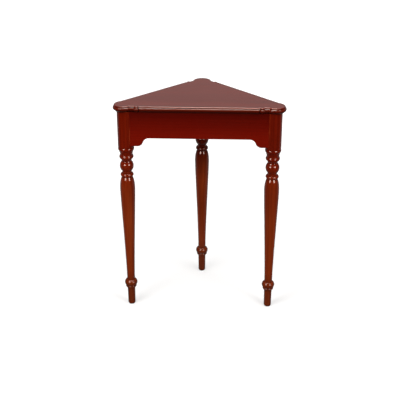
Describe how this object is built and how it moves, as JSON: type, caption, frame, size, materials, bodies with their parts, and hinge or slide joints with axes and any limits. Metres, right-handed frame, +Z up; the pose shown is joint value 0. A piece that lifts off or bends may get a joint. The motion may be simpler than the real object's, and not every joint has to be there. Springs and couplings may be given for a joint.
{
  "type": "corner table",
  "caption": "Triangular corner table on turned legs, with a moulded eared top and plain aprons with ogee bracket ends.",
  "frame": {"origin": "on the floor, under the middle of the table's outline", "axes": "+X to the right seen from the front, +Y towards the right-angled back corner, +Z up; the long front edge faces -Y"},
  "size_m": [0.5292, 0.2987, 0.711],
  "materials": {
    "top_wood": "gloss red-brown lacquer on mahogany",
    "leg_wood": "gloss red-brown lacquer on turned mahogany",
    "apron_wood": "gloss red-brown lacquer on mahogany",
    "inner_wood": "bare hardwood",
    "dowel_wood": "bare beech",
    "bolt_steel": "zinc plated",
    "screw_steel": "yellow zinc plated",
    "glide_nylon": "dark brown nylon"
  },
  "bodies": {
    "root": {"top": "top_wood", "leg_left": "leg_wood", "corner_block_left": "inner_wood", "dowels_left": "dowel_wood", "block_screws_left": "screw_steel", "hanger_bolt_left": "bolt_steel", "washer_left": "bolt_steel", "nut_left": "bolt_steel", "glide_left": "glide_nylon", "leg_right": "leg_wood", "corner_block_right": "inner_wood", "dowels_right": "dowel_wood", "block_screws_right": "screw_steel", "hanger_bolt_right": "bolt_steel", "washer_right": "bolt_steel", "nut_right": "bolt_steel", "glide_right": "glide_nylon", "leg_rear": "leg_wood", "corner_block_rear": "inner_wood", "dowels_rear": "dowel_wood", "block_screws_rear": "screw_steel", "hanger_bolt_rear": "bolt_steel", "washer_rear": "bolt_steel", "nut_rear": "bolt_steel", "glide_rear": "glide_nylon", "apron_front": "apron_wood", "cleat_front": "inner_wood", "apron_left": "apron_wood", "cleat_left": "inner_wood", "apron_right": "apron_wood", "cleat_right": "inner_wood", "cleat_screws_to_top": "screw_steel", "cleat_screws_to_apron": "screw_steel"}
  },
  "joints": []
}
